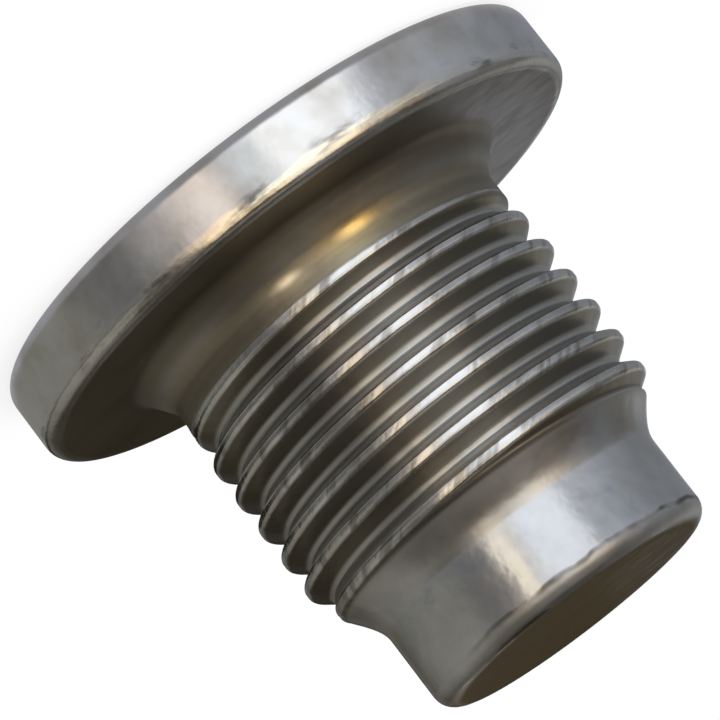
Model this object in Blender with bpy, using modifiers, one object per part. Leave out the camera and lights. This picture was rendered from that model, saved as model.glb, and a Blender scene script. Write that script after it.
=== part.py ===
"""Oil drain plug, made from one piece of steel.

A round flanged head holds a square drive socket in its outer face. Behind the flange come a flared
neck, a right-hand thread that runs in and out of the shank, and a plain pilot tip. The plug stands on
its head with the tip up, and the origin is the middle of the head's outer face. Lengths are in metres.
"""

import math

import bmesh
import bpy

MM = 0.001

# Flange
FLANGE_DIAMETER = 25.2 * MM
FLANGE_THICKNESS = 3.1 * MM
HEAD_EDGE_RADIUS = 0.55 * MM
RIM_EDGE_RADIUS = 0.4 * MM

# Neck, which flares out to its foot on the sealing face
FOOT_DIAMETER = 17.1 * MM
FOOT_HEIGHT = 1.6 * MM
NECK_DIAMETER = 15.4 * MM
NECK_LENGTH = 1.8 * MM

# Thread, counted from the end of the neck to the shoulder above the pilot
THREAD_DIAMETER = 16.0 * MM
THREAD_PITCH = 1.5 * MM
THREAD_DEPTH = 0.82 * MM
THREAD_LENGTH = 10.4 * MM
CREST_WIDTH = 0.22 * MM
FLANK_ANGLE = math.radians(60.0)
RUN_IN_LENGTH = 2.0 * MM
RUN_OUT_LENGTH = 2.3 * MM
CREST_ABOVE_SEAT = 1.52 * MM

# Pilot tip
PILOT_DIAMETER = 12.8 * MM
PILOT_LENGTH = 3.4 * MM
SHOULDER_LENGTH = 1.7 * MM
TIP_EDGE_RADIUS = 0.55 * MM

# Drive socket, whose mouth widens beyond the flats and whose drill point stays inside them
SOCKET_WIDTH = 8.0 * MM
SOCKET_DEPTH = 7.2 * MM
SOCKET_CORNER_RADIUS = 0.5 * MM
MOUTH_WIDENING = 1.9 * MM
MOUTH_SLOPE = math.radians(30.0)
DRILL_POINT_INSET = 0.2 * MM
DRILL_POINT_SLOPE = math.radians(31.0)

STEEL_COLOUR = (0.56, 0.55, 0.53, 1.0)
STEEL_ROUGHNESS = 0.32

# The turned forms and the helix share their number of steps, so that their facets line up
STEPS = 64
ARC_STEPS = 4
CORNER_STEPS = 3
SHARP_ANGLE = math.radians(28.0)
CUT_PAST = 1.0 * MM
MERGE_DISTANCE = 0.01 * MM

SEAT_Z = FLANGE_THICKNESS
NECK_TOP_Z = SEAT_Z + NECK_LENGTH
SHOULDER_Z = NECK_TOP_Z + THREAD_LENGTH
PILOT_Z = SHOULDER_Z + SHOULDER_LENGTH
TIP_Z = PILOT_Z + PILOT_LENGTH
CREST_RADIUS = THREAD_DIAMETER / 2
ROOT_RADIUS = CREST_RADIUS - THREAD_DEPTH


def arc(centre, radius, start, end):
    """Points (r, z) along a circle, from one angle to another in degrees."""
    angles = [math.radians(start + (end - start) * i / ARC_STEPS) for i in range(ARC_STEPS + 1)]
    return [(centre[0] + radius * math.cos(a), centre[1] + radius * math.sin(a)) for a in angles]


def flare(start, end):
    """Points (r, z) on a curve that leaves its start along the axis, its radius changing as t squared."""
    shares = [i / ARC_STEPS for i in range(ARC_STEPS + 1)]
    return [(start[0] + (end[0] - start[0]) * t * t, start[1] + (end[1] - start[1]) * t) for t in shares]


def plug_profile():
    """The section without its thread, from the middle of the tip down to the middle of the head."""
    pilot_radius = PILOT_DIAMETER / 2
    neck_radius = NECK_DIAMETER / 2
    flange_radius = FLANGE_DIAMETER / 2
    return [
        (0.0, TIP_Z),
        *arc((pilot_radius - TIP_EDGE_RADIUS, TIP_Z - TIP_EDGE_RADIUS), TIP_EDGE_RADIUS, 90, 0),
        *flare((pilot_radius, PILOT_Z), (ROOT_RADIUS, SHOULDER_Z)),
        (ROOT_RADIUS, NECK_TOP_Z + RUN_IN_LENGTH / 2),
        (neck_radius, NECK_TOP_Z),
        *flare((neck_radius, SEAT_Z + FOOT_HEIGHT), (FOOT_DIAMETER / 2, SEAT_Z)),
        *arc((flange_radius - RIM_EDGE_RADIUS, SEAT_Z - RIM_EDGE_RADIUS), RIM_EDGE_RADIUS, 90, 0),
        *arc((flange_radius - HEAD_EDGE_RADIUS, HEAD_EDGE_RADIUS), HEAD_EDGE_RADIUS, 0, -90),
        (0.0, 0.0),
    ]


def run_out_profile():
    """A blank that curves in at both ends, which brings the thread's crest down into the shank."""
    proud = CREST_RADIUS + THREAD_DEPTH / 10
    sunk = ROOT_RADIUS - THREAD_DEPTH / 10
    top = SHOULDER_Z - THREAD_DEPTH / 10
    run_out = flare((proud, top - RUN_OUT_LENGTH), (sunk, top))
    run_in = flare((proud, NECK_TOP_Z + RUN_IN_LENGTH), (sunk, NECK_TOP_Z))
    return [(0.0, top), *reversed(run_out), *run_in, (0.0, NECK_TOP_Z)]


def ridge_profile(height):
    """One closed section of the thread's ridge, centred at this height, with its foot in the shank."""
    flank_end = ROOT_RADIUS - THREAD_DEPTH / 10
    foot = ROOT_RADIUS - THREAD_DEPTH
    foot_half = CREST_WIDTH / 2 + (CREST_RADIUS - flank_end) * math.tan(FLANK_ANGLE / 2)
    return [
        (foot, height + foot_half),
        (flank_end, height + foot_half),
        (CREST_RADIUS, height + CREST_WIDTH / 2),
        (CREST_RADIUS, height - CREST_WIDTH / 2),
        (flank_end, height - foot_half),
        (foot, height - foot_half),
    ]


def wire_object(name, points, collection, closed=False):
    """An object holding the section (r, z) as edges in the X-Z plane."""
    count = len(points)
    edges = [(i, (i + 1) % count) for i in range(count if closed else count - 1)]
    mesh = bpy.data.meshes.new(name)
    mesh.from_pydata([(r, 0.0, z) for r, z in points], edges, [])
    obj = bpy.data.objects.new(name, mesh)
    collection.objects.link(obj)
    return obj


def add_screw(obj, rise=0.0, turns=1):
    """Turns the object's section about Z, or sweeps it along a helix with this rise in each turn."""
    screw = obj.modifiers.new("Screw", "SCREW")
    screw.axis = "Z"
    screw.angle = math.tau
    screw.screw_offset = rise
    screw.iterations = turns
    screw.steps = STEPS
    screw.render_steps = STEPS
    screw.use_smooth_shade = True
    screw.use_merge_vertices = rise == 0.0
    screw.merge_threshold = MERGE_DISTANCE


def add_boolean(obj, operation, other):
    """Joins the other object to this one, cuts it away or keeps what they share."""
    boolean = obj.modifiers.new(f"{operation.title()} {other.name}", "BOOLEAN")
    boolean.operation = operation
    boolean.object = other
    boolean.solver = "MANIFOLD"


def evaluated_mesh(obj):
    """A new mesh of the object with its modifiers applied."""
    bpy.context.view_layer.update()
    return bpy.data.meshes.new_from_object(obj.evaluated_get(bpy.context.evaluated_depsgraph_get()))


def make_helper(obj):
    """Marks the object as a tool for Booleans, which isn't part of the plug itself."""
    obj.display_type = "WIRE"
    obj.hide_render = True
    return obj


def make_thread_ridge(helpers):
    """The thread as a helical ridge, closed at both ends and trimmed to run in and out."""
    run_out = make_helper(wire_object("run_out_form", run_out_profile(), helpers))
    add_screw(run_out)

    first_crest = SEAT_Z + CREST_ABOVE_SEAT - THREAD_PITCH
    turns = math.ceil((run_out_profile()[0][1] - first_crest) / THREAD_PITCH) + 1
    ridge = make_helper(wire_object("thread_ridge", ridge_profile(first_crest), helpers, closed=True))
    add_screw(ridge, rise=THREAD_PITCH, turns=turns)
    swept = evaluated_mesh(ridge)
    ridge.modifiers.clear()

    shape = bmesh.new()
    shape.from_mesh(swept)
    bmesh.ops.holes_fill(shape, edges=[edge for edge in shape.edges if edge.is_boundary])
    bmesh.ops.recalc_face_normals(shape, faces=shape.faces)
    shape.to_mesh(swept)
    shape.free()
    ridge.data = swept
    add_boolean(ridge, "INTERSECT", run_out)
    return ridge


def bmesh_helper(name, shape, helpers):
    """Turns a finished bmesh into a helper object."""
    mesh = bpy.data.meshes.new(name)
    shape.to_mesh(mesh)
    shape.free()
    obj = bpy.data.objects.new(name, mesh)
    helpers.objects.link(obj)
    return make_helper(obj)


def make_socket_square(helpers):
    """The square hole, with its four long corners rounded, running out past the head's face."""
    shape = bmesh.new()
    bmesh.ops.create_cube(shape, size=1.0)
    height = SOCKET_DEPTH + CUT_PAST
    bmesh.ops.scale(shape, vec=(SOCKET_WIDTH, SOCKET_WIDTH, height), verts=shape.verts)
    bmesh.ops.translate(shape, vec=(0.0, 0.0, height / 2 - CUT_PAST), verts=shape.verts)
    corners = [e for e in shape.edges if abs(e.verts[0].co.z - e.verts[1].co.z) > CUT_PAST / 2]
    bmesh.ops.bevel(
        shape,
        geom=corners,
        offset=SOCKET_CORNER_RADIUS,
        offset_type="OFFSET",
        segments=CORNER_STEPS,
        profile=0.5,
        affect="EDGES",
    )
    return bmesh_helper("socket_square", shape, helpers)


def make_socket_mouth(helpers):
    """The countersink at the socket's mouth, a cone that runs out past the head's face."""
    mouth_radius = SOCKET_WIDTH / 2 + MOUTH_WIDENING
    slope = math.tan(MOUTH_SLOPE)
    points = [(0.0, mouth_radius * slope), (mouth_radius + CUT_PAST / slope, -CUT_PAST), (0.0, -CUT_PAST)]
    mouth = make_helper(wire_object("socket_mouth", points, helpers))
    add_screw(mouth)
    return mouth


def make_drill_point(helpers):
    """The drill's conical point, left in the floor of the socket."""
    drill_radius = SOCKET_WIDTH / 2 - DRILL_POINT_INSET
    point_z = SOCKET_DEPTH + drill_radius * math.tan(DRILL_POINT_SLOPE)
    below_z = SOCKET_DEPTH - CUT_PAST
    points = [(0.0, point_z), (drill_radius, SOCKET_DEPTH), (drill_radius, below_z), (0.0, below_z)]
    drill = make_helper(wire_object("drill_point", points, helpers))
    add_screw(drill)
    return drill


def make_steel():
    """Plated steel, bright and a little dull."""
    steel = bpy.data.materials.new("plated_steel")
    steel.use_nodes = True
    shader = steel.node_tree.nodes["Principled BSDF"]
    shader.inputs["Base Color"].default_value = STEEL_COLOUR
    shader.inputs["Metallic"].default_value = 1.0
    shader.inputs["Roughness"].default_value = STEEL_ROUGHNESS
    return steel


def make_plug(collection, helpers):
    """The whole plug: the turned body, joined with its thread and cut with its socket."""
    plug = wire_object("drain_plug", plug_profile(), collection)
    add_screw(plug)
    add_boolean(plug, "UNION", make_thread_ridge(helpers))
    add_boolean(plug, "DIFFERENCE", make_socket_square(helpers))
    add_boolean(plug, "DIFFERENCE", make_socket_mouth(helpers))
    add_boolean(plug, "DIFFERENCE", make_drill_point(helpers))

    body = evaluated_mesh(plug)
    plug.modifiers.clear()
    plug.data = body
    body.shade_smooth()
    body.set_sharp_from_angle(angle=SHARP_ANGLE)
    body.materials.clear()
    body.materials.append(make_steel())
    return plug


def new_collection(name):
    """A collection of this name in the scene."""
    collection = bpy.data.collections.new(name)
    bpy.context.scene.collection.children.link(collection)
    return collection


def main():
    for obj in list(bpy.data.objects):
        bpy.data.objects.remove(obj, do_unlink=True)
    make_plug(new_collection("oil_drain_plug"), new_collection("cutters"))


main()
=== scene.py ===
"""Looks of the oil drain plug: plated steel with a rolled thread, lit in a small light tent.

Lengths are in metres, written as millimetres times MM. The plug stands on its head with its tip up,
as in the frame, and the camera looks at it from the side with the tip turned down and to the right.
"""

import math
from types import SimpleNamespace

import bmesh
import bpy
import numpy as np
from mathutils import Matrix, Vector


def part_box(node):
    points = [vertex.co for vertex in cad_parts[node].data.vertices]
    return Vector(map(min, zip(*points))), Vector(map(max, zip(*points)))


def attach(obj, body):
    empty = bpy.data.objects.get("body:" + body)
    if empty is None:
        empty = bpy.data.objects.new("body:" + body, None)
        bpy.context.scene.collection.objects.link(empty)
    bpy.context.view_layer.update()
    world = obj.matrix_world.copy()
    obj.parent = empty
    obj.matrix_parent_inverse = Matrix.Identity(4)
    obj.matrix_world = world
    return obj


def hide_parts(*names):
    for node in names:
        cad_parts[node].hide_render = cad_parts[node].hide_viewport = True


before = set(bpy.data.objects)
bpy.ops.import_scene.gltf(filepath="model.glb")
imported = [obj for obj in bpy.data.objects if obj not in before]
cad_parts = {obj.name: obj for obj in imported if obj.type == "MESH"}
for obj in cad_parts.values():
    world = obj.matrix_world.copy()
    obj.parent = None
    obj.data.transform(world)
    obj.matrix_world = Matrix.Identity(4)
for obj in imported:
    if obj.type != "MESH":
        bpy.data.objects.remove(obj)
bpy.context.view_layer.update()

MM = 0.001
TAU = math.tau

# Flange and head
low_corner, high_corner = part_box("drain_plug")
FLANGE_RADIUS = high_corner.x
TIP_Z = high_corner.z
SEAT_Z = 3.1 * MM
HEAD_EDGE = 0.55 * MM
RIM_EDGE = 0.5 * MM

# Neck, thread, shoulder and pilot
FOOT_RADIUS = 8.73 * MM
FOOT_FILLET = 0.9 * MM
FOOT_STEPS = 39
CONE_FALL = 0.74
CONE_SOFTNESS = 0.24 * MM
NECK_RADIUS = 7.69 * MM
CREST_RADIUS = 8.0 * MM
ROOT_RADIUS = 7.18 * MM
PITCH = 1.5 * MM
TIP_SIDE = 0.84 * MM
HEAD_SIDE = PITCH - TIP_SIDE
CREST_FLAT = 0.33 * MM
ROOT_FLAT = 0.2 * MM
CREST_SOFTNESS = 0.13 * MM
ROOT_SOFTNESS = 0.2 * MM
CREST_Z = 4.52 * MM
GROOVE_FROM_Z = 5.4 * MM
GROOVE_FULL_Z = 6.25 * MM
GROOVE_END_Z = 14.95 * MM
GROOVE_CLOSING = 0.5 * MM
CREST_FROM_Z = 5.0 * MM
CREST_FULL_Z = 8.6 * MM
THREAD_LOW_Z = 4.85 * MM
THREAD_HIGH_Z = 16.4 * MM
THREAD_BLEND = 0.25 * MM
LAST_CREST_Z = 14.9 * MM
LAST_CREST_FADE = 0.3 * MM
CREST_DROP = 0.4 * MM
SHOULDER_FROM_Z = 13.75 * MM
PILOT_Z = 16.85 * MM
PILOT_RADIUS = 6.4 * MM
TIP_EDGE = 0.8 * MM

# Drive socket
SOCKET_HALF = 4.0 * MM
SOCKET_CORNER = 0.5 * MM
SOCKET_FLOOR_Z = 7.2 * MM
MOUTH_RADIUS = 5.9 * MM
MOUTH_SLOPE = math.radians(30.0)
DRILL_RADIUS = 3.8 * MM
DRILL_SLOPE = math.radians(31.0)

# Grid of the plug's surface
COLUMNS = 192
ROWS_PER_PITCH = 34
WELD = 0.0001 * MM

# Parts of the surface, each as its radii and its heights in mm. Two numbers say where the part fades
# in, and four where it fades in and out.
SURFACE = {
    "side": ((12.0, 12.3), (-1.0, 0.0, 2.9, 3.1)),
    "rim": ((11.9, 12.1), (2.3, 2.65)),
    "seat": ((12.2, 11.9), (2.8, 3.0, 3.5, 4.6)),
    "neck": ((8.3, 7.9), (3.9, 4.5, 5.5, 5.9)),
    "thread": ((8.3, 8.2), (5.4, 5.6, 15.0, 15.3)),
    "pilot": ((5.7, 6.1), (14.9, 15.6)),
    "end_face": ((5.8, 5.5), (20.3, 20.38)),
}

# The same for the marks and the painted light: up from a crest, along x, in height, and at the tip
CREST = (-0.28, -0.16, 0.18, 0.3)
CREST_LOW_EDGE = (-0.4, -0.26, -0.18, -0.12)
# Up from a crest, the oil film on the flanks facing the tip, which is also painted shade
OILY_FLANK = (0.18, 0.3, 0.6, 0.72)
# Along x, where the rim's edge takes a painted cream highlight
WARM_RIM = (-8.5, -6.0, 2.5, 5.5)
# Along x, where the tip's edge takes a painted dark line in place of a dark reflection
TIP_LINE_SIDE = (4.6, 3.0)
SHOULDER = (14.9, 15.3, 16.4, 17.2)
DIRTY_EDGE = (1.9, 2.5, 2.6, 3.0)
# In height, the rim's rubbed lighter edge, which takes that painted highlight
POLISHED_EDGE = (2.36, 2.5, 2.74, 2.9)
TIP_ROUND_RADII = (5.6, 5.8)
# In height, that painted dark line
TIP_LINE = (19.54, 19.66, 19.7, 19.86)
TIP_ROUND = (19.6, 19.75, 20.3, 20.4)

# How deep the centres of the painted glints and sheen lie, just inside the neck, and how far a ragged edge
# strays
SPOT_DEPTH = 7.4 * MM
RAGGED_BY = 0.09 * MM

# Light tent. Its v runs to RING_SHARE over the ring on the floor, and on to 1 over the dome.
TENT_RADIUS = 260.0 * MM
TENT_STRENGTH = 1.6
TENT_LIFT = 0.02 * MM
RING_INNER_RADIUS = 12.2 * MM
DRAW_IN_RADIUS = 12.65 * MM
RING_ROWS = 24
RING_SHARE = 0.2
DOME_ROWS = 30
TENT_COLUMNS = 180

# Floor, lamp and world
FLOOR_HALF = 1.5
FLOOR_GLOW = 0.8
SOFTBOX_SIZE = 300 * MM
SOFTBOX_WATTS = 0.9
SOFTBOX_PLACE = Vector((-120 * MM, 60 * MM, 420 * MM))
WORLD_STRENGTH = 0.8
WORLD_SEEN = 1.0

# Camera, set so that the plug's axis runs down to the right
VIEW_TARGET = Vector((0.73 * MM, 0.0, 7.23 * MM))
VIEW_DISTANCE = 186.9 * MM
VIEW_ELEVATION = math.radians(11.48)
VIEW_ROLL = math.radians(142.5)
LENS_MM = 238.8
SENSOR_MM = 36.0


def line(start, end, steps):
    """Rows (r, z) on a straight line, without its first point: the two ends' mean, by an even share."""
    share = np.linspace(0.0, 1.0, steps + 1)[1:, None]
    return np.array(start) * (1 - share) + np.array(end) * share


def arc(centre, radius, start, end, steps):
    """Rows (r, z) on a circle between two angles in degrees, without its first point.

    Each lies at the centre plus the radius times the angle's cosine and sine.
    """
    angle = np.radians(np.linspace(start, end, steps + 1)[1:])
    return np.stack([centre[0] + radius * np.cos(angle), centre[1] + radius * np.sin(angle)], axis=1)


def ease(value, start, end):
    """0 before start, 1 after end, and the smooth cubic 3t^2 - 2t^3 between them."""
    t = np.clip((value - start) / (end - start), 0.0, 1.0)
    return t * t * (3 - 2 * t)


def soft_lower(a, b, softness):
    """The lower of two surfaces, blended where they are closer than the softness.

    A share goes evenly from 0 to 1 across that stretch. The blend is the mean by that share, less the
    softness times the share times what it lacks to 1.
    """
    h = np.clip(0.5 + 0.5 * (b - a) / softness, 0.0, 1.0)
    return b * (1 - h) + a * h - softness * h * (1 - h)


def soft_higher(a, b, softness):
    """The higher of two surfaces, blended where they are closer than the softness."""
    return -soft_lower(-a, -b, softness)


def column_angles():
    """The angle of each column of the grid around the plug's axis."""
    return np.arange(COLUMNS) * TAU / COLUMNS


def turned(rows):
    """Rings of points from rows (r, z), each carried once around the axis: r cos, r sin and z."""
    angle = column_angles()[None, :]
    radius = rows[:, 0, None]
    height = rows[:, 1, None] + 0 * angle
    return np.stack([radius * np.cos(angle), radius * np.sin(angle), height], axis=-1)


def ring_quads(rows, rise=0):
    """Quads between neighbouring rings. Across the seam the next column lies rise rows further on."""
    row, column = np.meshgrid(np.arange(rows - 1), np.arange(COLUMNS), indexing="ij")
    after = (column + 1) % COLUMNS
    jump = np.where(after == 0, rise, 0)
    quads = np.stack(
        [
            row * COLUMNS + column,
            (row + jump) * COLUMNS + after,
            (row + jump + 1) * COLUMNS + after,
            (row + 1) * COLUMNS + column,
        ],
        axis=-1,
    )
    return quads[row + jump + 1 < rows]


def thread_radius(height, angle):
    """Radius of the threaded stretch at a height and an angle.

    A V of this pitch winds up the shank, right-hand, with its longer flank facing the tip. The turn is
    the height over the pitch less the angle's share of a circle, and its fraction times the pitch says
    how far a point lies beside a crest. Past half the crest's flat the radius falls evenly with that,
    down to the root. The blank's own outline cuts the crest, lower where the thread runs in at the neck
    and out at the shoulder, and the neck fills the groove's first half turn. A sine of the turn holds
    that outline level across each crest.
    """
    turn = (height - CREST_Z) / PITCH - angle / TAU
    beside = (turn + HEAD_SIDE / PITCH) % 1 * PITCH - HEAD_SIDE
    threaded = 1 - ease(height, LAST_CREST_Z, LAST_CREST_Z + LAST_CREST_FADE)
    held = height - PITCH / TAU * np.sin(turn * TAU) * threaded
    crest = NECK_RADIUS + (CREST_RADIUS - NECK_RADIUS) * ease(held, CREST_FROM_Z, CREST_FULL_Z)
    shoulder = PILOT_RADIUS + (CREST_RADIUS - PILOT_RADIUS) * (1 - ease(held, SHOULDER_FROM_Z, PILOT_Z))
    blank = soft_lower(crest, shoulder, ROOT_SOFTNESS)

    flank_run = np.where(beside > 0, TIP_SIDE, HEAD_SIDE) - (CREST_FLAT + ROOT_FLAT) / 2
    past_crest = (np.abs(beside) - CREST_FLAT / 2) / flank_run
    top = CREST_RADIUS - np.minimum(CREST_RADIUS - blank, CREST_DROP) * threaded
    flank = top - (top - ROOT_RADIUS) * past_crest
    tooth = soft_higher(flank, ROOT_RADIUS + 0 * flank, ROOT_SOFTNESS)
    opening = ease(height, GROOVE_FROM_Z, GROOVE_FULL_Z)
    closing = ease(height, GROOVE_END_Z, GROOVE_END_Z + GROOVE_CLOSING)
    groove_floor = ROOT_RADIUS + (CREST_RADIUS - ROOT_RADIUS) * (1 - opening + closing)
    return soft_lower(soft_higher(tooth, groove_floor, ROOT_SOFTNESS), blank, CREST_SOFTNESS)


def neck_rows():
    """Rows up the foot's cone, whose radius falls evenly with height, and softly into the neck."""
    fillet_end = SEAT_Z + FOOT_FILLET * (1 - math.sin(math.atan(CONE_FALL)))
    height = np.linspace(fillet_end, THREAD_LOW_Z, FOOT_STEPS + 1)[1:]
    cone = FOOT_RADIUS - CONE_FALL * (height - SEAT_Z)
    radius = soft_higher(cone, NECK_RADIUS + 0 * cone, CONE_SOFTNESS)
    return np.stack([radius, height], axis=1)


def helix_patch():
    """The threaded stretch as (points, quads).

    The rows climb with the helix, by the pitch times the angle's share of a circle, so each crest lies
    along a row. Heights are held between the stretch's two ends, where the rows close up into circles.
    """
    turns = (THREAD_HIGH_Z - THREAD_LOW_Z) / PITCH + 1
    steps = math.ceil(turns * ROWS_PER_PITCH)
    start = (np.arange(steps + 1) / ROWS_PER_PITCH - 1.0)[:, None]
    angle = column_angles()[None, :]
    height = np.clip(THREAD_LOW_Z + PITCH * (start + angle / TAU), THREAD_LOW_Z, THREAD_HIGH_Z)
    begun = ease(height, THREAD_LOW_Z, THREAD_LOW_Z + THREAD_BLEND)
    radius = NECK_RADIUS + (thread_radius(height, angle) - NECK_RADIUS) * begun
    points = np.stack([radius * np.cos(angle), radius * np.sin(angle), height], axis=-1)
    return points.reshape(-1, 3), ring_quads(steps + 1, rise=ROWS_PER_PITCH)


def socket_outline():
    """The socket's rounded square, one point for each column, evenly spaced along its length.

    A quarter is half a flat, a quarter circle at the corner and half the next flat, and each quarter is
    turned a right angle on from the one before.
    """
    flat = SOCKET_HALF - SOCKET_CORNER
    quarter = 2 * flat + SOCKET_CORNER * TAU / 4
    along = column_angles() / TAU * 4 * quarter
    side = np.floor(along / quarter)
    along = along - side * quarter
    turn = np.clip((along - flat) / SOCKET_CORNER, 0.0, TAU / 4)
    after = np.clip(along - flat - SOCKET_CORNER * TAU / 4, 0.0, flat)
    x = flat + SOCKET_CORNER * np.cos(turn) - after
    y = np.minimum(along, flat) + SOCKET_CORNER * np.sin(turn)
    cosine, sine = np.cos(side * TAU / 4), np.sin(side * TAU / 4)
    return np.stack([x * cosine - y * sine, x * sine + y * cosine], axis=-1)


def blend_rings(lower, upper, steps):
    """Rings that go straight from one ring of points to the next, without the first."""
    share = np.linspace(0.0, 1.0, steps + 1)[1:, None, None]
    return lower[None] * (1 - share) + upper[None] * share


def flat_ring(outline, height):
    """A ring of points over an outline (x, y), at one height or one height for each point."""
    return np.concatenate([outline, np.broadcast_to(height, (COLUMNS,))[:, None]], axis=1)


def socket_rings():
    """Rings from the drill point, over the floor and down the square wall to the mouth's edge."""
    square = socket_outline()
    reach = np.linalg.norm(square, axis=1)
    radial = square / reach[:, None]
    apex = flat_ring(square * 0.0, SOCKET_FLOOR_Z + DRILL_RADIUS * math.tan(DRILL_SLOPE))
    drill_edge = flat_ring(radial * DRILL_RADIUS, SOCKET_FLOOR_Z)
    floor_edge = flat_ring(square, SOCKET_FLOOR_Z)
    wall_end = flat_ring(square, (MOUTH_RADIUS - reach) * math.tan(MOUTH_SLOPE))
    mouth = flat_ring(radial * MOUTH_RADIUS, 0.0)
    return np.concatenate(
        [
            apex[None],
            blend_rings(apex, drill_edge, 10),
            blend_rings(drill_edge, floor_edge, 2),
            blend_rings(floor_edge, wall_end, 10),
            blend_rings(wall_end, mouth, 6),
        ]
    )


def flange_rows():
    """Rows from the head's face, round its edge, up the side, over the rim and the seat to the neck."""
    head_edge = (FLANGE_RADIUS - HEAD_EDGE, HEAD_EDGE)
    rim_edge = (FLANGE_RADIUS - RIM_EDGE, SEAT_Z - RIM_EDGE)
    lean = math.degrees(math.atan(CONE_FALL))
    fillet = (FOOT_RADIUS + FOOT_FILLET * math.tan(math.radians(90 - lean) / 2), SEAT_Z + FOOT_FILLET)
    return np.concatenate(
        [
            line((MOUTH_RADIUS, 0.0), (head_edge[0], 0.0), 10),
            arc(head_edge, HEAD_EDGE, -90, 0, 8),
            line((FLANGE_RADIUS, head_edge[1]), (FLANGE_RADIUS, rim_edge[1]), 6),
            arc(rim_edge, RIM_EDGE, 0, 90, 10),
            line((rim_edge[0], SEAT_Z), (fillet[0], SEAT_Z), 8),
            arc(fillet, FOOT_FILLET, -90, -180 + lean, 10),
            neck_rows(),
        ]
    )


def pilot_rows():
    """Rows from the shoulder's end over the pilot and its edge to the middle of the tip."""
    shoulder_z = np.linspace(THREAD_HIGH_Z, PILOT_Z, 5)
    edge = (PILOT_RADIUS - TIP_EDGE, TIP_Z - TIP_EDGE)
    return np.concatenate(
        [
            np.stack([thread_radius(shoulder_z, 0.0), shoulder_z], axis=1),
            line((PILOT_RADIUS, PILOT_Z), (PILOT_RADIUS, edge[1]), 8),
            arc(edge, TIP_EDGE, 0, 90, 8),
            line((edge[0], TIP_Z), (0.0, TIP_Z), 10),
        ]
    )


def mesh_object(name, points, faces, material):
    """An object with one mesh and one material, linked to the scene."""
    mesh = bpy.data.meshes.new(name)
    mesh.from_pydata(points, [], faces)
    mesh.materials.append(material)
    obj = bpy.data.objects.new(name, mesh)
    bpy.context.scene.collection.objects.link(obj)
    return obj


def grid_object(name, parts, material):
    """One object from several (points, quads) grids, welded where they meet and at the poles."""
    offsets = np.cumsum([0] + [len(points) for points, _ in parts[:-1]])
    points = np.concatenate([part[0] for part in parts])
    quads = np.concatenate([part[1] + offset for part, offset in zip(parts, offsets)])
    obj = mesh_object(name, points, quads.tolist(), material)
    shape = bmesh.new()
    shape.from_mesh(obj.data)
    bmesh.ops.remove_doubles(shape, verts=shape.verts, dist=WELD)
    bmesh.ops.dissolve_degenerate(shape, edges=shape.edges, dist=WELD)
    shape.to_mesh(obj.data)
    shape.free()
    obj.data.shade_smooth()
    return obj


def make_plug(material):
    """The whole plug as one closed skin, from the drill point in its socket to its tip."""
    lower = np.concatenate([socket_rings(), turned(flange_rows())])
    upper = turned(pilot_rows())
    parts = [
        (lower.reshape(-1, 3), ring_quads(len(lower))),
        helix_patch(),
        (upper.reshape(-1, 3), ring_quads(len(upper))),
    ]
    plug = grid_object("plated_plug", parts, material)
    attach(plug, "root")
    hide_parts("drain_plug")


def linear(hex_colour):
    """An sRGB hex colour as linear red, green, blue and a full alpha."""
    channels = [int(hex_colour[i : i + 2], 16) / 255 for i in (1, 3, 5)]
    return tuple([c / 12.92 if c <= 0.04045 else ((c + 0.055) / 1.055) ** 2.4 for c in channels] + [1.0])


def add(tree, kind, inputs=(), stops=(), **settings):
    """Add a node with its settings and links, and return its outputs.

    inputs is a list in the node's own order, or a dictionary by name. Each takes a value, a hex colour
    or another node's output. stops are a colour ramp's places and hex colours.
    """
    node = tree.nodes.new("ShaderNode" + kind)
    for name, value in settings.items():
        setattr(node, name, value)
    for key, value in inputs.items() if isinstance(inputs, dict) else enumerate(inputs):
        if isinstance(value, bpy.types.NodeSocket):
            tree.links.new(value, node.inputs[key])
        else:
            node.inputs[key].default_value = linear(value) if isinstance(value, str) else value
    for _ in stops[2:]:
        node.color_ramp.elements.new(0.5)
    for number, (place, colour) in enumerate(stops):
        node.color_ramp.elements[number].position = place
        node.color_ramp.elements[number].color = linear(colour)
    return node.outputs


def new_material(name):
    """A material with an empty node tree, and that tree."""
    material = bpy.data.materials.new(name)
    material.use_nodes = True
    material.node_tree.nodes.clear()
    return material, material.node_tree


def all_of(tree, *masks):
    """Where all of these masks are set: their product."""
    share = masks[0]
    for mask in masks[1:]:
        share = add(tree, "Math", [share, mask], operation="MULTIPLY")[0]
    return share


def any_of(tree, *masks):
    """Where any of these masks is set: their highest value."""
    share = masks[0]
    for mask in masks[1:]:
        share = add(tree, "Math", [share, mask], operation="MAXIMUM")[0]
    return share


def within(tree, value, edges):
    """A mask that fades in over two edges in mm, and out again over two more if there are four."""
    start, end = edges[0] * MM, edges[1] * MM
    mask = add(tree, "MapRange", [value, start, end], interpolation_type="SMOOTHSTEP")[0]
    if len(edges) == 4:
        mask = all_of(tree, mask, within(tree, value, (edges[3], edges[2])))
    return mask


def lumps(place, per_mm, detail=3.0, roughness=0.5):
    """What a noise needs for this many lumps to a millimetre."""
    return {"Vector": place, "Scale": per_mm / MM, "Detail": detail, "Roughness": roughness}


def patches(tree, pattern, levels, strengths=(0.0, 1.0)):
    """Patches of noise. Between two levels of it they go smoothly from one strength to the other."""
    cloud = add(tree, "TexNoise", pattern)["Fac"]
    return add(tree, "MapRange", [cloud, *levels, *strengths], interpolation_type="SMOOTHSTEP")[0]


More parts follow.
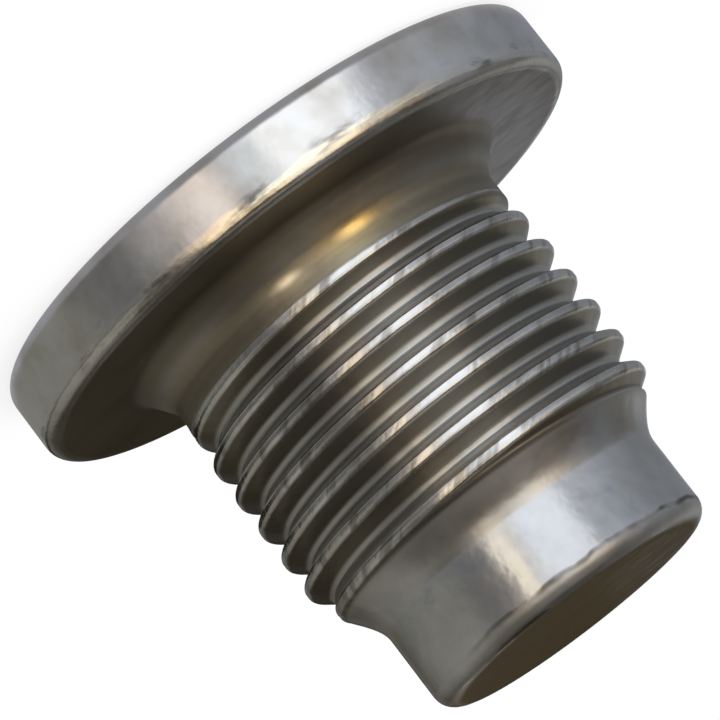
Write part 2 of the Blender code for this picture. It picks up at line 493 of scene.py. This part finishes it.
def surface_places(tree):
    """Where a point of the plug lies, by name.

    beside is the height above the nearest crest, worked out as for the thread's shape. flat is the
    point with its height tripled, and slanted follows the crests, so that marks lie along the sides
    and along the thread.
    """
    point = add(tree, "TexCoord")["Object"]
    axes = add(tree, "SeparateXYZ", [point])
    across = add(tree, "CombineXYZ", [axes["X"], axes["Y"]])[0]
    radius = add(tree, "VectorMath", [across], operation="LENGTH")["Value"]

    bearing = add(tree, "Math", [axes["Y"], axes["X"]], operation="ARCTAN2")[0]
    above = add(tree, "Math", [axes["Z"], CREST_Z], operation="SUBTRACT")[0]
    climb = all_of(tree, above, 1 / PITCH)
    turn = add(tree, "Math", [climb, all_of(tree, bearing, 1 / TAU)], operation="SUBTRACT")[0]
    from_root = add(tree, "Math", [turn, HEAD_SIDE / PITCH], operation="ADD")[0]
    share = add(tree, "Math", [from_root], operation="FRACT")[0]
    beside = add(tree, "Math", [all_of(tree, share, PITCH), HEAD_SIDE], operation="SUBTRACT")[0]

    flat = add(tree, "VectorMath", [point, (1.0, 1.0, 3.0)], operation="MULTIPLY")["Vector"]
    around = all_of(tree, bearing, CREST_RADIUS)
    along = add(tree, "Math", [around, beside], operation="SUBTRACT")[0]
    slanted = add(tree, "CombineXYZ", [along, all_of(tree, axes["Z"], 0.4)])[0]
    return SimpleNamespace(
        point=point, x=axes["X"], height=axes["Z"], radius=radius, beside=beside, flat=flat, slanted=slanted
    )


def worn_spot(tree, at, x, z, reach):
    """A spot of painted light of this reach in mm on the neck's near side, a third as high as it is wide.
    """
    centre = (x * MM, -SPOT_DEPTH, 3 * z * MM)
    away = add(tree, "VectorMath", [at.flat, centre], operation="DISTANCE")["Value"]
    return within(tree, away, (reach, 0.1 * reach))


def plating_masks(tree, at):
    """Each part of the surface by name, with the films, marks and painted light on it."""
    on = SimpleNamespace()
    for name, (radii, heights) in SURFACE.items():
        mask = all_of(tree, within(tree, at.radius, radii), within(tree, at.height, heights))
        setattr(on, name, mask)
    on.crests = all_of(tree, on.thread, within(tree, at.beside, CREST))
    off_crests = [on.crests, 0.0, 1.0, 1.0, 0.0]
    between = add(tree, "MapRange", off_crests, interpolation_type="SMOOTHSTEP")[0]
    on.neck = all_of(tree, on.neck, between)
    on.bright = any_of(tree, on.side, on.crests, on.pilot)
    # The oil film on the flanks facing the tip, the seat and the end face, also painted shade on these
    # faces
    oily_flank = all_of(tree, on.thread, within(tree, at.beside, OILY_FLANK))
    on.oily = any_of(tree, oily_flank, on.seat, on.end_face)
    crest_edge = all_of(tree, on.thread, within(tree, at.beside, CREST_LOW_EDGE))
    on.matt = any_of(tree, crest_edge, within(tree, at.height, SHOULDER))

    # Painted glints, with a painted golden glow and sheen round them, where the neck mirrors the window and
    # the warm strip
    on.gilt = worn_spot(tree, at, -2.2, 4.5, 1.25)
    on.glint = worn_spot(tree, at, 1.15, 4.65, 1.0)
    on.gold = worn_spot(tree, at, -2.0, 4.5, 3.0)
    on.worn = any_of(tree, worn_spot(tree, at, -1.6, 4.95, 2.2), worn_spot(tree, at, 0.9, 4.95, 1.6))

    uneven = patches(tree, lumps(at.point, 0.45), (0.3, 0.7), (-RAGGED_BY, RAGGED_BY))
    ragged_height = add(tree, "Math", [at.height, uneven], operation="ADD")[0]
    tip_round = within(tree, at.radius, TIP_ROUND_RADII)
    broken = patches(tree, lumps(at.point, 0.7, 2.0), (0.35, 0.6), (0.25, 1.0))
    # A painted dark line round the tip's edge, broken up, standing in for a dark reflection
    tip_line = all_of(tree, tip_round, within(tree, ragged_height, TIP_LINE), broken)
    on.tip_line = all_of(tree, tip_line, within(tree, at.x, TIP_LINE_SIDE))
    on.tip_round = all_of(tree, tip_round, within(tree, ragged_height, TIP_ROUND))
    # The rim's rubbed lighter edge, with a painted cream highlight on its near side
    on.polished = all_of(tree, on.side, within(tree, ragged_height, POLISHED_EDGE))

    specks = patches(tree, lumps(at.flat, 0.42, 3.0, 0.6), (0.52, 0.7))
    on.dirt = all_of(tree, specks, within(tree, at.height, DIRTY_EDGE), on.side)
    mottle = patches(tree, lumps(at.point, 0.38, 3.0, 0.6), (0.44, 0.72), (0.35, 1.0))
    on.mottled = all_of(tree, on.pilot, mottle)
    scuff = patches(tree, lumps(at.slanted, 1.1), (0.5, 0.66), (0.0, 0.8))
    on.scuffs = all_of(tree, on.crests, scuff)
    on.clouds = add(tree, "TexNoise", lumps(at.point, 0.42, 3.0, 0.55))["Fac"]
    return on


def plating_colour(tree, at, on):
    """Bright and dull zinc, then oil with painted shade, painted light, marks and the dirt over them."""
    clean = add(tree, "ValToRGB", [on.clouds], [(0.28, "#b9b4ae"), (0.5, "#cdcbc8"), (0.75, "#d8d9dc")])[0]
    # A painted cream highlight on the rim's edge, on the near side
    warm = {"Factor": within(tree, at.x, WARM_RIM), "A": "#d2cfca", "B": "#f0e2c8"}
    polish = add(tree, "Mix", warm, data_type="RGBA")["Result"]
    colour = "#b2b1ae"
    for mask, above in (
        (on.bright, clean),
        # The oil film, also painted shade
        (on.oily, "#817b6f"),
        (on.neck, "#968e7e"),
        # The neck's painted sheen, golden glow and glints
        (all_of(tree, on.worn, 0.5), "#c9bb9c"),
        (all_of(tree, on.gold, 0.5), "#b39350"),
        (on.gilt, "#e6c684"),
        (on.glint, "#e6dcc4"),
        (on.mottled, "#b3b5ba"),
        # The painted dark line at the tip
        (on.tip_line, "#68645e"),
        # The rim's rubbed edge, with its painted highlight
        (all_of(tree, on.polished, 0.85), polish),
        (on.scuffs, "#8f8b86"),
        (on.dirt, "#7c7671"),
    ):
        layer = {"Factor": mask, "A": colour, "B": above}
        colour = add(tree, "Mix", layer, data_type="RGBA")["Result"]
    return colour


def plating_roughness(tree, on):
    """Smooth where the zinc is bright, softer in the oil and on rounded edges, and a little cloudy."""
    dull_to_bright = [on.bright, 0.0, 1.0, 0.32, 0.18]
    roughness = add(tree, "MapRange", dull_to_bright, interpolation_type="SMOOTHSTEP")[0]
    for mask, change in (
        (any_of(tree, on.seat, on.neck), 0.13),
        (on.rim, 0.03),
        (on.tip_round, 0.22),
        (on.matt, 0.12),
        # The painted glints are smoother too
        (any_of(tree, on.gilt, on.glint), -0.2),
    ):
        roughness = add(tree, "Math", [roughness, all_of(tree, mask, change)], operation="ADD")[0]
    cloudy = [on.clouds, 0.3, 0.7, -0.03, 0.04]
    haze = add(tree, "MapRange", cloudy, interpolation_type="SMOOTHSTEP")[0]
    return add(tree, "Math", [roughness, haze], operation="ADD")[0]


def plating_relief(tree, at, on):
    """Waves and dents all over, knocks on the rim, nicks along the crests and a fine grain.

    The plating's own grain is finer than a pixel. It is drawn a tenth of a millimetre wide, to show.
    """
    relief = {}
    for pattern, level, mask, depth in (
        (lumps(at.point, 0.48), 0.0, 1.0, 0.05),
        (lumps(at.point, 1.5, 2.0), 0.0, 1.0, 0.015),
        (lumps(at.flat, 0.7, 3.0, 0.55), 0.5, on.rim, 0.035),
        (lumps(at.slanted, 1.3, 2.0), 0.0, on.crests, 0.024),
        (lumps(at.point, 9.0, 2.0), 0.0, 1.0, 0.0006),
    ):
        height = add(tree, "TexNoise", pattern)["Fac"]
        height = add(tree, "Math", [height, level], operation="SUBTRACT")[0]
        dent = {"Strength": 1.0, "Distance": depth * MM, "Height": all_of(tree, height, mask)}
        relief = {"Normal": add(tree, "Bump", dent | relief)["Normal"]}
    return relief["Normal"]


def plated_steel():
    """Zinc-plated steel, turned and then thread-rolled.

    The flange's side, the thread's crests and the pilot are bright, with a slightly wavy mirror. The
    neck, the seat, the end face and the flanks facing the tip are dull and browner, where oil has
    stayed; on the seat, the end face and those flanks this darker film is also painted shade. The neck
    carries painted glints and a painted golden sheen, the rim's edge a painted cream highlight, and the
    tip's edge a painted dark line.
    """
    material, tree = new_material("zinc_plated_steel")
    at = surface_places(tree)
    on = plating_masks(tree, at)
    plating = {
        "Base Color": plating_colour(tree, at, on),
        "Metallic": 1.0,
        "Roughness": plating_roughness(tree, on),
        "Normal": plating_relief(tree, at, on),
    }
    shader = add(tree, "BsdfPrincipled", plating)["BSDF"]
    add(tree, "OutputMaterial", [shader])
    return material


def dome_share(elevation):
    """The tent's v at an elevation in degrees."""
    return RING_SHARE + (1 - RING_SHARE) * elevation / 90


def tent_cloth():
    """The tent's glow, by bearing (u) and height (v), in the colours that the plating mirrors.

    A window panel stands left of the camera and a warm strip right of it. The rest is grey cloth, which
    turns dark brown higher up at the back. Each band gives its colours by bearing in degrees, and the
    loop below gives the heights where it takes over from the band under it.
    """
    material, tree = new_material("tent_cloth")
    place = add(tree, "SeparateXYZ", [add(tree, "TexCoord")["UV"]])
    on_floor_near = (
        (-180, "#6c6e70"), (-142, "#70747a"), (-116, "#70747a"), (-98, "#80858b"), (-66, "#94979c"),
        (-54, "#a4a8b0"), (-44, "#f4f9ff"), (-14, "#fafdff"), (-6, "#d0d6dc"), (4, "#bcbcbe"),
        (13, "#e8ddd4"), (21, "#d4cac4"), (32, "#a09c9a"), (42, "#807e7c"), (52, "#626262"),
        (66, "#646464"), (80, "#74746e"), (150, "#6c6c68"), (180, "#6c6e70"),
    )
    on_floor_far = (
        (-180, "#6c6e70"), (-116, "#6c7076"), (-90, "#787c80"), (-60, "#8a8e94"), (-48, "#989ca2"),
        (-43, "#b4b4b4"), (-37, "#f2f8ff"), (-4, "#f2f8ff"), (-1, "#d4d8dc"), (7, "#c4c2be"),
        (10, "#fff0da"), (17, "#fff0da"), (22, "#988e86"), (32, "#6c6a68"), (52, "#585858"),
        (80, "#4a4a48"), (100, "#565450"), (125, "#4a4a48"), (180, "#6c6e70"),
    )
    above_floor = (
        (-180, "#6c6e70"), (-116, "#74787c"), (-90, "#868a8e"), (-62, "#a6aab0"), (-46, "#b0b4ba"),
        (-36, "#e6ecf4"), (-5, "#e6ecf4"), (7, "#ccc8c2"), (9.5, "#fff4e0"), (18, "#fff4e0"),
        (24, "#a09a94"), (33, "#706e6c"), (46, "#6c6c6c"), (70, "#80807a"), (115, "#76766f"),
        (150, "#4c4840"), (180, "#6c6e70"),
    )
    wall = (
        (-180, "#2a2720"), (-170, "#3a372f"), (-158, "#9a9a98"), (-146, "#8a8a88"), (-132, "#56554f"),
        (-105, "#66686a"), (-80, "#6e6e6e"), (-60, "#807a74"), (-46, "#c0ae94"), (-37, "#faeedc"),
        (-14, "#eae4d8"), (-5, "#b0aca0"), (5, "#989488"), (11, "#fbe9cc"), (18, "#f0dcba"),
        (26, "#6a645c"), (46, "#504f4b"), (64, "#6a6860"), (80, "#86837b"), (134, "#6a6860"),
        (148, "#2c2922"), (180, "#2a2720"),
    )
    upper_wall = (
        (-180, "#24221a"), (-160, "#5c5a55"), (-125, "#5c5a55"), (-100, "#45433e"), (-40, "#62584e"),
        (0, "#443e34"), (85, "#45433e"), (112, "#6a6762"), (138, "#4a4742"), (158, "#24221a"),
        (180, "#24221a"),
    )
    top = (
        (-180, "#1c1a14"), (-125, "#201d16"), (-85, "#5c5e60"), (-30, "#84807c"), (10, "#78746e"),
        (60, "#5c5a56"), (105, "#201d16"), (180, "#1c1a14"),
    )
    glow = "#86868a"
    for start, end, band in (
        (0.003, 0.008, on_floor_near),
        (0.05, 0.065, on_floor_far),
        (0.123, 0.13, above_floor),
        (dome_share(6), dome_share(15), wall),
        (dome_share(38), dome_share(48), upper_wall),
        (dome_share(60), dome_share(68), top),
    ):
        stops = [((angle + 180) / 360, colour) for angle, colour in band]
        colours = add(tree, "ValToRGB", [place["X"]], stops)["Color"]
        share = add(tree, "MapRange", [place["Y"], start, end], interpolation_type="SMOOTHSTEP")[0]
        glow = add(tree, "Mix", {"Factor": share, "A": glow, "B": colours}, data_type="RGBA")["Result"]
    shader = add(tree, "Emission", [glow, TENT_STRENGTH])
    add(tree, "OutputMaterial", [shader[0]])
    return material


def unseen(name, points, faces, material):
    """A mesh that only the plating mirrors: the camera, the floor and the shadows don't see it."""
    card = mesh_object(name, points, faces, material)
    card.visible_camera = False
    card.visible_diffuse = False
    card.visible_shadow = False
    return card


def card_material(name, colour):
    """An even glow of one colour."""
    material, tree = new_material(name)
    shader = add(tree, "Emission", [colour, TENT_STRENGTH])
    add(tree, "OutputMaterial", [shader[0]])
    return material


def make_card(name, corners, material):
    """A card from its four corners in millimetres."""
    unseen(name, [[value * MM for value in corner] for corner in corners], [(0, 1, 2, 3)], material)


def make_cards():
    """Cards behind the plug, set for its flat faces and its tip's rounding.

    The seat mirrors the low ones, dark felt with a grey card right of it in the picture, and the felt
    on the floor there. The tip's end face mirrors the brown one above them, and the tip's rounding
    mirrors the light one.
    """
    felt = card_material("dark_felt", "#1d1a13")
    grey = card_material("grey_card", "#bcc0cc")
    brown = card_material("brown_card", "#4b422f")
    light = card_material("light_card", "#8f8b84")
    for name, depth, (left, right), (bottom, top), material in (
        ("low_felt", 48, (-2, 19), (0, 25), felt),
        ("low_grey", 48, (-17, -4), (4, 22), grey),
        ("high_brown", 48, (-12, 19), (26, 50), brown),
        ("high_light", 47, (8, 26), (41, 60), light),
    ):
        lower = [(left, depth, bottom), (right, depth, bottom)]
        upper = [(right, depth, top), (left, depth, top)]
        make_card(name, lower + upper, material)
    make_card("floor_felt", [(-2, 14, 0.3), (60, 14, 0.3), (60, 48, 0.3), (-2, 48, 0.3)], felt)


def make_tent():
    """A round tent that only the plating's mirror sees: a ring over the floor, and a dome on it.

    Bearings run from -180 to 180 degrees, with 0 at the camera. The ring's radii grow by an even ratio,
    and the dome is the tent's radius times the rise's cosine and sine. Near the flange, in front, the
    ring's bearings draw in to half, because the flange's side mirrors the floor beside it at its own
    bearing and the far cloth at twice that.
    """
    bearing = np.radians(np.linspace(-180, 180, TENT_COLUMNS + 1))[None, :]
    ring = np.geomspace(RING_INNER_RADIUS, TENT_RADIUS, RING_ROWS)[:, None]
    draw_in = 1 - 0.5 * (DRAW_IN_RADIUS / ring) * (1 - (bearing / math.pi) ** 2)
    rise = np.linspace(0, 90, DOME_ROWS + 1)[1:, None]
    angle = np.concatenate([bearing * draw_in, bearing + 0 * rise])
    radius = np.concatenate([ring, TENT_RADIUS * np.cos(np.radians(rise))])
    height = np.concatenate([0 * ring + TENT_LIFT, TENT_RADIUS * np.sin(np.radians(rise))])
    points = np.stack([radius * np.sin(angle), -radius * np.cos(angle), height + 0 * angle], axis=-1)
    rows, columns = angle.shape
    corner = np.arange(rows * columns).reshape(rows, columns)
    quads = np.stack([corner[:-1, :-1], corner[:-1, 1:], corner[1:, 1:], corner[1:, :-1]], axis=-1)
    level = np.concatenate([np.linspace(0.0, RING_SHARE, RING_ROWS)[:, None], dome_share(rise)])
    across = (bearing + math.pi) / TAU
    uv = np.stack([across + 0 * level, level + 0 * across], axis=-1).reshape(-1, 2)

    cloth = tent_cloth()
    tent = unseen("light_tent", points.reshape(-1, 3), quads.reshape(-1, 4).tolist(), cloth).data
    corners = np.empty(len(tent.loops), dtype=np.int32)
    tent.loops.foreach_get("vertex_index", corners)
    tent.uv_layers.new(name="bearing").data.foreach_set("uv", uv[corners].ravel())


def make_floor():
    """A wide pale floor. Camera and mirror rays see it near white, with the plug's soft shadow."""
    material, tree = new_material("pale_card")
    path = add(tree, "LightPath")
    seen = any_of(tree, path["Is Camera Ray"], path["Is Glossy Ray"])
    card = add(tree, "BsdfDiffuse", ["#fafafa"])[0]
    white = add(tree, "Emission", ["#ffffff", 1.0])[0]
    shader = add(tree, "MixShader", [all_of(tree, seen, FLOOR_GLOW), card, white])
    add(tree, "OutputMaterial", [shader[0]])

    half = FLOOR_HALF
    corners = [(-half, -half, 0.0), (half, -half, 0.0), (half, half, 0.0), (-half, half, 0.0)]
    floor = mesh_object("floor", corners, [(0, 1, 2, 3)], material)


def make_lamps():
    """An even world, white to the camera, and a wide lamp overhead that the plating doesn't mirror."""
    world = bpy.data.worlds.new("studio")
    bpy.context.scene.world = world
    world.use_nodes = True
    tree = world.node_tree
    tree.nodes.clear()
    seen = add(tree, "LightPath")["Is Camera Ray"]
    strength = add(tree, "MapRange", [seen, 0.0, 1.0, WORLD_STRENGTH, WORLD_SEEN])[0]
    sky = add(tree, "Background", ["#ffffff", strength])
    add(tree, "OutputWorld", [sky[0]])

    data = bpy.data.lights.new("softbox", "AREA")
    data.shape = "DISK"
    data.size = SOFTBOX_SIZE
    data.energy = SOFTBOX_WATTS
    lamp = bpy.data.objects.new("softbox", data)
    lamp.location = SOFTBOX_PLACE
    lamp.rotation_euler = (-SOFTBOX_PLACE).to_track_quat("-Z", "Y").to_euler()
    lamp.visible_glossy = False
    bpy.context.scene.collection.objects.link(lamp)


def make_camera():
    """The photograph's view: from the plug's side, a little above its seat, and rolled."""
    elevation, roll = VIEW_ELEVATION, VIEW_ROLL
    forward = Vector((0.0, math.cos(elevation), -math.sin(elevation)))
    level_right = Vector((1.0, 0.0, 0.0))
    level_up = Vector((0.0, math.sin(elevation), math.cos(elevation)))
    right = math.cos(roll) * level_right + math.sin(roll) * level_up
    up = math.cos(roll) * level_up - math.sin(roll) * level_right
    turn = Matrix((right, up, -forward)).transposed().to_4x4()
    data = bpy.data.cameras.new("camera")
    data.lens = LENS_MM
    data.sensor_width = SENSOR_MM
    data.clip_start = 1 * MM
    camera = bpy.data.objects.new("camera", data)
    camera.matrix_world = Matrix.Translation(VIEW_TARGET - VIEW_DISTANCE * forward) @ turn
    bpy.context.scene.collection.objects.link(camera)
    bpy.context.scene.camera = camera


def main():
    make_plug(plated_steel())
    make_floor()
    make_tent()
    make_cards()
    make_lamps()
    make_camera()
    bpy.context.scene.view_settings.view_transform = "Standard"


main()
